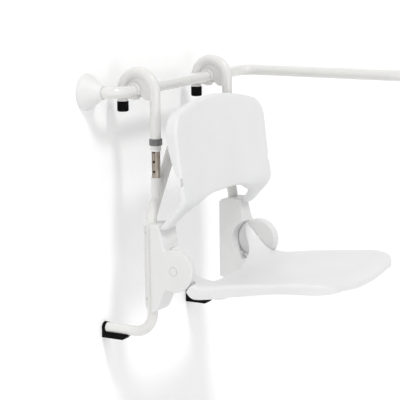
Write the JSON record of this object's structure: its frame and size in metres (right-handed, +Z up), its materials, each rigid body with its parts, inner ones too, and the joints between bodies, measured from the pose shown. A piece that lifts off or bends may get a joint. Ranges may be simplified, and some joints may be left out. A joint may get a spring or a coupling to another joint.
{
  "type": "shower chair",
  "caption": "Height-adjustable shower chair with folding dished seat and backrest, hung by two tubular hooks from a wall-mounted handrail and resting on rubber feet against the wall",
  "frame": {"origin": "centre of the left wall plate of the handrail, on the wall plane Y = 0", "axes": "+Z is up, +Y points into the wall, so the chair faces -Y, and +X runs along the handrail to the sitter's left"},
  "size_m": [0.9625, 0.765, 0.838],
  "materials": {
    "coated_tube": "glossy white plastic coating over steel tube",
    "matt_white": "matt white moulding",
    "seat_plastic": "satin white moulding",
    "block_plastic": "satin off-white moulding",
    "saddle_plastic": "satin light grey-white moulding",
    "bush_plastic": "white low-friction plastic",
    "grey_plastic": "mid grey moulding",
    "stainless": "brushed stainless steel",
    "plate_steel": "zinc-plated steel",
    "black_rubber": "black rubber"
  },
  "bodies": {
    "rail": {"wall_rail": "coated_tube", "rail_plate_left": "plate_steel", "rail_plate_right": "plate_steel", "flange_cover_left": "matt_white", "flange_cover_right": "matt_white"},
    "hooks": {"hook_tube_left": "coated_tube", "hook_tube_right": "coated_tube", "hook_end_cap_left": "black_rubber", "hook_end_cap_right": "black_rubber", "rail_saddle_left": "saddle_plastic", "rail_saddle_right": "saddle_plastic", "height_collar_left": "grey_plastic", "height_collar_right": "grey_plastic", "guide_bush_left": "bush_plastic", "guide_bush_right": "bush_plastic"},
    "lower_frame": {"side_tube_left": "coated_tube", "side_tube_right": "coated_tube", "back_cross_tube": "coated_tube", "lower_sleeve_left": "coated_tube", "lower_sleeve_right": "coated_tube", "inner_tube_left": "stainless", "inner_tube_right": "stainless", "foot_pad_left": "black_rubber", "foot_pad_right": "black_rubber", "hinge_block_left": "block_plastic", "hinge_block_right": "block_plastic", "hinge_pin_left": "stainless", "hinge_pin_right": "stainless", "pin_cap_left": "block_plastic", "pin_cap_right": "block_plastic", "stop_buffer_left": "bush_plastic", "stop_buffer_right": "bush_plastic", "block_screws_left": "stainless", "block_screws_right": "stainless", "backrest_shell": "seat_plastic", "backrest_bracket_left": "block_plastic", "backrest_bracket_right": "block_plastic", "backrest_screws": "stainless"},
    "seat": {"seat_shell": "seat_plastic", "hinge_bush_left": "bush_plastic", "hinge_bush_right": "bush_plastic"},
    "lock_left": {"lock_pin_left": "grey_plastic"},
    "lock_right": {"lock_pin_right": "grey_plastic"}
  },
  "joints": [
    {"name": "rail_slide", "type": "slide", "parent": "rail", "child": "hooks", "axis": [1, 0, 0], "range_m": [-0.025, 0.15]},
    {"name": "height_slide", "type": "slide", "parent": "hooks", "child": "lower_frame", "axis": [0, 0, 1], "range_m": [0, 0.06]},
    {"name": "seat_fold", "type": "hinge", "parent": "lower_frame", "child": "seat", "pos_m": [0.33, -0.265, -0.53], "axis": [-1, 0, 0], "range_deg": [0, 80]},
    {"name": "lock_left_slide", "type": "slide", "parent": "hooks", "child": "lock_left", "axis": [-1, 0, 0], "range_m": [0, 0.006], "stiffness_N_per_m": 400, "springref_m": -0.002},
    {"name": "lock_right_slide", "type": "slide", "parent": "hooks", "child": "lock_right", "axis": [1, 0, 0], "range_m": [0, 0.006], "stiffness_N_per_m": 400, "springref_m": -0.002}
  ]
}
